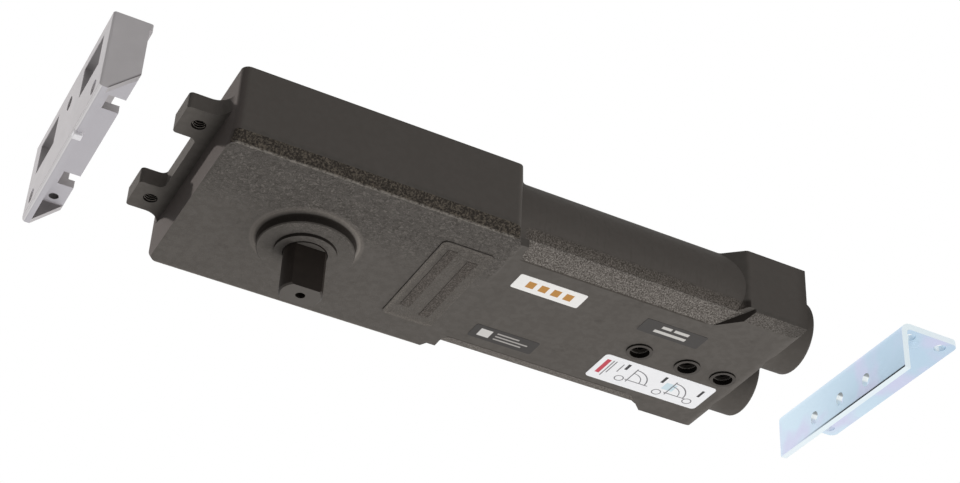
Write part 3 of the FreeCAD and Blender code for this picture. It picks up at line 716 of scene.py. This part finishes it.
def sticker(name, low, high, corner, material):
    """A film with rounded corners between two corners of the underside, given in millimetres."""
    middle = [(low[axis] + high[axis]) / 2 * MM for axis in (0, 1)]
    bpy.ops.object.select_all(action="DESELECT")
    bpy.ops.mesh.primitive_plane_add(size=1.0, location=(middle[0], middle[1], FILM_SUNK))
    film = bpy.context.object
    film.name = name
    film.scale = ((high[0] - low[0]) * MM, (high[1] - low[1]) * MM, 1)
    bpy.ops.object.transform_apply(location=True, rotation=True, scale=True)
    bpy.ops.object.mode_set(mode="EDIT")
    bpy.ops.mesh.select_all(action="SELECT")
    bpy.ops.mesh.bevel(offset=corner * MM, segments=6, affect="VERTICES")
    bpy.ops.mesh.select_all(action="SELECT")
    bpy.ops.mesh.extrude_region_move(TRANSFORM_OT_translate={"value": (0, 0, -FILM_SUNK - FILM_RAISED)})
    bpy.ops.mesh.select_all(action="SELECT")
    bpy.ops.mesh.normals_make_consistent(inside=False)
    bpy.ops.object.mode_set(mode="OBJECT")
    film.data.materials.append(material)
    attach(film, "closer")
    return film


print("film stands proud by", round(FILM_RAISED / MM, 2), "mm")

# %% Printed shapes
EDGE_BLUR = 0.12
FILM_SHADE = 0.93


class Print(Finish):
    """A sticker's finish: a plain film with shapes printed on it in the sticker's own millimetres."""

    def __init__(self, name, corner, ground):
        super().__init__(name, Specular_IOR_Level=0.3)
        x, y, _ = self.millimetres()
        self.right, self.down = x - corner[0], y - corner[1]
        shade = tuple(FILM_SHADE * part for part in ground[:3]) + (1.0,)
        self.tone = self.blend(self.noise(7 * MM), ground, shade)

    def bar(self, left, top, width, height):
        """A mask of one upright bar."""
        return (self.right.within(left, left + width, EDGE_BLUR)
                * self.down.within(top, top + height, EDGE_BLUR))

    def ring(self, right, down, radius, width):
        """A mask of one ring."""
        from_middle = self.from_axis(self.right, self.down, (right, down))
        return from_middle.within(radius - width / 2, radius + width / 2, EDGE_BLUR)

    def swing(self, right, down, radius, width):
        """A mask of a quarter of a ring, as a plan shows a door's swing."""
        beside = self.right.ramp(right - EDGE_BLUR, right + EDGE_BLUR)
        above = 1 - self.down.ramp(down - EDGE_BLUR, down)
        return self.ring(right, down, radius, width) * (beside * above)

    def ink(self, shapes, shade):
        """Prints masks in one colour."""
        mask = shapes[0]
        for shape in shapes[1:]:
            mask = mask.at_least(shape)
        self.tone = self.blend(mask, self.tone, shade)

    def finished(self):
        self.feed("Base Color", self.tone)
        self.feed("Roughness", 0.42 + self.noise(1.5 * MM) * 0.12)
        return self.done()


print("printed edges are soft over", EDGE_BLUR, "mm")

# %% Small stickers
SIZE_LABEL = ((76.5, -22.5), (105.0, -13.0))
LISTING_LABEL = ((78.0, 15.5), (105.5, 24.5))
SMALL_LABEL = ((131.5, -21.5), (158.5, -12.5))


def size_print():
    film = Print("size_label_film", SIZE_LABEL[0], colour(252, 250, 247))
    film.ink([film.bar(4.9 + 5.3 * step, 2.7, 3.3, 4.2) for step in range(4)], colour(190, 137, 70))
    return film.finished()


def listing_print():
    film = Print("listing_label_film", LISTING_LABEL[0], colour(52, 49, 47))
    film.ink([film.bar(3.0, 2.0, 5.0, 5.0)], colour(214, 211, 208))
    lines = [film.bar(10.0, 2.0, 9.5, 0.8), film.bar(10.0, 4.0, 14.0, 0.8), film.bar(10.0, 6.0, 12.0, 0.8)]
    film.ink(lines, colour(172, 168, 164))
    return film.finished()


def small_print():
    film = Print("small_label_film", SMALL_LABEL[0], colour(58, 55, 53))
    lines = [film.bar(8.0, 1.8, 4.2, 1.7), film.bar(13.4, 1.8, 6.4, 1.7), film.bar(6.2, 5.2, 14.0, 1.7)]
    film.ink(lines, colour(206, 203, 199))
    return film.finished()


films = [
    sticker("size_label", *SIZE_LABEL, 0.9, size_print()),
    sticker("listing_label", *LISTING_LABEL, 0.9, listing_print()),
    sticker("small_label", *SMALL_LABEL, 0.7, small_print()),
]
print("stickers:", [film.name for film in films])

# %% Guide sticker
GUIDE_LABEL = ((131.0, 8.0), (182.0, 26.0))


def guide_print():
    film = Print("guide_label_film", GUIDE_LABEL[0], colour(253, 253, 255))
    film.ink([film.bar(2.2, 3.2, 1.9, 10.5)], colour(196, 74, 88))
    film.ink([film.bar(5.0, 3.0, 0.5, 12.0), film.bar(6.2, 3.0, 0.5, 9.0), film.bar(9.6, 3.4, 0.5, 6.0)],
             colour(120, 118, 120))
    film.ink([film.bar(11.4, 2.2, 1.3, 4.2), film.bar(28.6, 2.6, 1.3, 4.6), film.bar(46.6, 4.0, 1.2, 5.0)],
             colour(46, 44, 46))
    film.ink([film.bar(31.2, 6.0, 5.0, 5.0)], colour(214, 232, 240))
    swings = [film.swing(16.4, 12.4, 8.0, 0.5), film.swing(16.4, 12.4, 5.4, 0.4),
              film.swing(34.6, 12.8, 8.0, 0.5), film.swing(34.6, 12.8, 5.4, 0.4)]
    rings = [film.ring(right, down, 1.8, 0.45) for right, down in ((13.0, 13.0), (31.0, 14.2), (45.2, 14.0))]
    arms = [film.bar(16.2, 3.6, 0.5, 10.4), film.bar(15.4, 12.3, 10.4, 0.5), film.bar(34.4, 3.8, 0.5, 10.4),
            film.bar(33.6, 12.7, 10.4, 0.5)]
    film.ink(swings + rings + arms, colour(108, 106, 110))
    return film.finished()


guide = sticker("guide_label", *GUIDE_LABEL, 1.8, guide_print())
print("sticker:", guide.name, "with", len(guide.data.polygons), "faces")

# %% [markdown]
# ## Rough ribs on the raised panel
# The raised panel carries two long ribs that the casting sand left rough. A bump map alone would leave the
# panel flat against the light. One rib is a fine grid whose points are moved a little at random and then
# pushed into the panel, so that it is a closed piece, and the other is a copy with a mesh of its own,
# turned end for end.

# %% Panel ribs
PANEL_FACE = -0.5
RIB_RISE = 0.22
RIB_SIZE = (3.9, 41.0)
RIB_GRAIN = 0.55
RIB_UNEVEN = 0.1
RIB_PLACES = [(48.3, -2.2), (57.6, 0.8)]

bpy.ops.object.select_all(action="DESELECT")
cells = [round(size / RIB_GRAIN) for size in RIB_SIZE]
bpy.ops.mesh.primitive_grid_add(x_subdivisions=cells[0], y_subdivisions=cells[1], size=1.0)
first_rib = bpy.context.object
first_rib.name = "panel_rib"
first_rib.scale = (RIB_SIZE[0] * MM, RIB_SIZE[1] * MM, 1)
bpy.ops.object.transform_apply(location=True, rotation=True, scale=True)
bpy.ops.object.mode_set(mode="EDIT")
bpy.ops.mesh.select_all(action="SELECT")
bpy.ops.transform.vertex_random(offset=RIB_UNEVEN * MM, uniform=0.0, normal=0.0, seed=7)
bpy.ops.mesh.extrude_region_move(TRANSFORM_OT_translate={"value": (0, 0, 2 * RIB_RISE * MM)})
bpy.ops.mesh.select_all(action="SELECT")
bpy.ops.mesh.normals_make_consistent(inside=False)
bpy.ops.object.mode_set(mode="OBJECT")

ribs = []
for row, (place_x, place_y) in enumerate(RIB_PLACES):
    rib = first_rib.copy()
    rib.data = first_rib.data.copy()
    bpy.context.scene.collection.objects.link(rib)
    rib.location = (place_x * MM, place_y * MM, (PANEL_FACE - RIB_RISE) * MM)
    rib.rotation_euler = (0, 0, row * math.pi)
    ribs.append(rib)
bpy.data.objects.remove(first_rib)

bpy.ops.object.select_all(action="DESELECT")
for rib in ribs:
    rib.select_set(True)
bpy.context.view_layer.objects.active = ribs[0]
bpy.ops.object.join()
panel_ribs = bpy.context.object
panel_ribs.name = "panel_ribs"
bpy.ops.object.transform_apply(location=True, rotation=True, scale=True)
panel_ribs.data.materials.append(iron_coat)
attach(panel_ribs, "closer")
print("ribs on the panel:", len(ribs), "with", len(panel_ribs.data.polygons), "faces")

# %% [markdown]
# ## The casting nub
# Where the metal ran into the mould, a short nub was left on the lower rim of the jamb bracket. It could be
# pulled out of the bracket's own face, but the frame's pieces stay as they are, so a cube is bevelled and
# set into the rim.

# %% Casting nub
NUB_PLACE = (-91.7, -15.0, 1.1)
NUB_SIZE = (3.2, 3.0, 2.2)
NUB_EDGE = 0.35

bpy.ops.object.select_all(action="DESELECT")
bpy.ops.mesh.primitive_cube_add(size=1.0)
nub = bpy.context.object
nub.name = "casting_nub"
nub.scale = [size * MM for size in NUB_SIZE]
bpy.ops.object.transform_apply(location=True, rotation=True, scale=True)
bpy.ops.object.mode_set(mode="EDIT")
bpy.ops.mesh.select_all(action="SELECT")
bpy.ops.mesh.bevel(offset=NUB_EDGE * MM, segments=2, affect="EDGES")
bpy.ops.object.mode_set(mode="OBJECT")
nub.location = [place * MM for place in NUB_PLACE]
bpy.ops.object.transform_apply(location=True, rotation=True, scale=True)
nub.data.materials.append(nub_skin)
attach(nub, "jamb_bracket")
print("nub with", len(nub.data.polygons), "faces")

# %% [markdown]
# ## Wound pieces
# The lugs' threads and the pistons' springs are both a small section carried round an axis. Each could be
# drawn as a curve with a bevel, but the Screw modifier takes the section as it is and gives a mesh straight
# away, so one function winds a section and closes its ends, and another makes a copy with its own mesh.


# %% Winding
def wind(section, axis, pitch, turns, steps):
    """Carries a closed section round an axis as a screw and closes both of its ends."""
    sides = len(section.data.vertices)
    screw = section.modifiers.new("turns", "SCREW")
    screw.axis = axis
    screw.screw_offset = pitch
    screw.iterations = turns
    screw.steps = steps
    screw.render_steps = steps
    bpy.ops.object.modifier_apply(modifier=screw.name)
    bpy.ops.object.mode_set(mode="EDIT")
    bpy.ops.mesh.select_all(action="SELECT")
    bpy.ops.mesh.fill_holes(sides=sides)
    bpy.ops.mesh.select_all(action="SELECT")
    bpy.ops.mesh.normals_make_consistent(inside=False)
    bpy.ops.object.mode_set(mode="OBJECT")
    print("wound", turns, "turns into", len(section.data.polygons), "faces")


def own_copy(piece, name, place):
    """A copy with a mesh of its own, moved to its place."""
    twin = piece.copy()
    twin.data = piece.data.copy()
    twin.name = name
    bpy.context.scene.collection.objects.link(twin)
    twin.data.transform(Matrix.Translation(place))
    return twin


print("helpers for wound pieces:", wind.__name__, own_copy.__name__)

# %% [markdown]
# ## Threads in the lugs
# The holes in the two lugs are tapped for the bracket's screws. The frame's holes are plain and stay as
# they are, so the thread isn't cut: a ridge of triangular section is wound up each hole, with its foot
# just inside the iron.

# %% Lug threads
THREAD_PITCH = 1.0
THREAD_TURNS = 5
THREAD_STEPS = 32
THREAD_START = 15.35
RIDGE_SIZE = 0.5
RIDGE_FLATTEN = 0.55
RIDGE_MIDDLE = 2.48

bpy.ops.object.select_all(action="DESELECT")
bpy.ops.mesh.primitive_circle_add(vertices=3, radius=RIDGE_SIZE * MM)
ridge = bpy.context.object
ridge.scale = (1, RIDGE_FLATTEN, 1)
ridge.rotation_euler = (math.pi / 2, -math.pi / 2, 0)
ridge.location = (RIDGE_MIDDLE * MM, 0, THREAD_START * MM)
bpy.ops.object.transform_apply(location=True, rotation=True, scale=True)
wind(ridge, "Z", THREAD_PITCH * MM, THREAD_TURNS, THREAD_STEPS)
for name, place_y in (("lug_thread_near", -LUG_HOLES[1]), ("lug_thread_far", LUG_HOLES[1])):
    thread = own_copy(ridge, name, (LUG_HOLES[0] * MM, place_y * MM, 0))
    thread.data.materials.append(iron_coat)
    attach(thread, "closer")
    print(name, "with", len(thread.data.polygons), "faces")
bpy.data.objects.remove(ridge)

# %% [markdown]
# ## The coil springs
# The coil spring behind each piston shortens when the piston runs back and lengthens when it runs forward.
# The frame's springs are rigid, so a piston would run through its spring. A new coil is wound from the
# round section of the wire, and a copy of it takes the place of each of the frame's springs, which are
# hidden.

# %% One coil
WIRE = 3.0 * MM
WIRE_SIDES = 12
COIL_TURNS = 11
COIL_STEPS = 24
COIL_PLAY = 0.02 * MM

coil_low, coil_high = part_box("spring_near")
coil_radius = (coil_high.z - coil_low.z - WIRE) / 2
coil_start = Vector((coil_low.x + WIRE / 2 + COIL_PLAY, coil_radius, 0))
coil_length = coil_high.x - coil_low.x - WIRE - 2 * COIL_PLAY

bpy.ops.object.select_all(action="DESELECT")
bpy.ops.mesh.primitive_circle_add(vertices=WIRE_SIDES, radius=WIRE / 2, location=coil_start)
coil = bpy.context.object
bpy.ops.object.transform_apply(location=True, rotation=True, scale=True)
wind(coil, "X", coil_length / COIL_TURNS, COIL_TURNS, COIL_STEPS)
bpy.ops.object.shade_smooth_by_angle()
print("coil is", round(coil_length / MM, 1), "mm long")

# %% Both springs
for side in ("near", "far"):
    spring_low, spring_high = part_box("spring_" + side)
    middle = (spring_low + spring_high) / 2
    spring = own_copy(coil, "coil_spring_" + side, (0, middle.y, middle.z))
    spring.data.materials.append(finishes["spring_steel"])
    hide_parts("spring_" + side)
    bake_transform(spring)
    print(spring.name, "stands for", "spring_" + side)
bpy.data.objects.remove(coil)

# %% [markdown]
# ## Save the sizes and finish
# The dressed model must stay inside the CAD box.
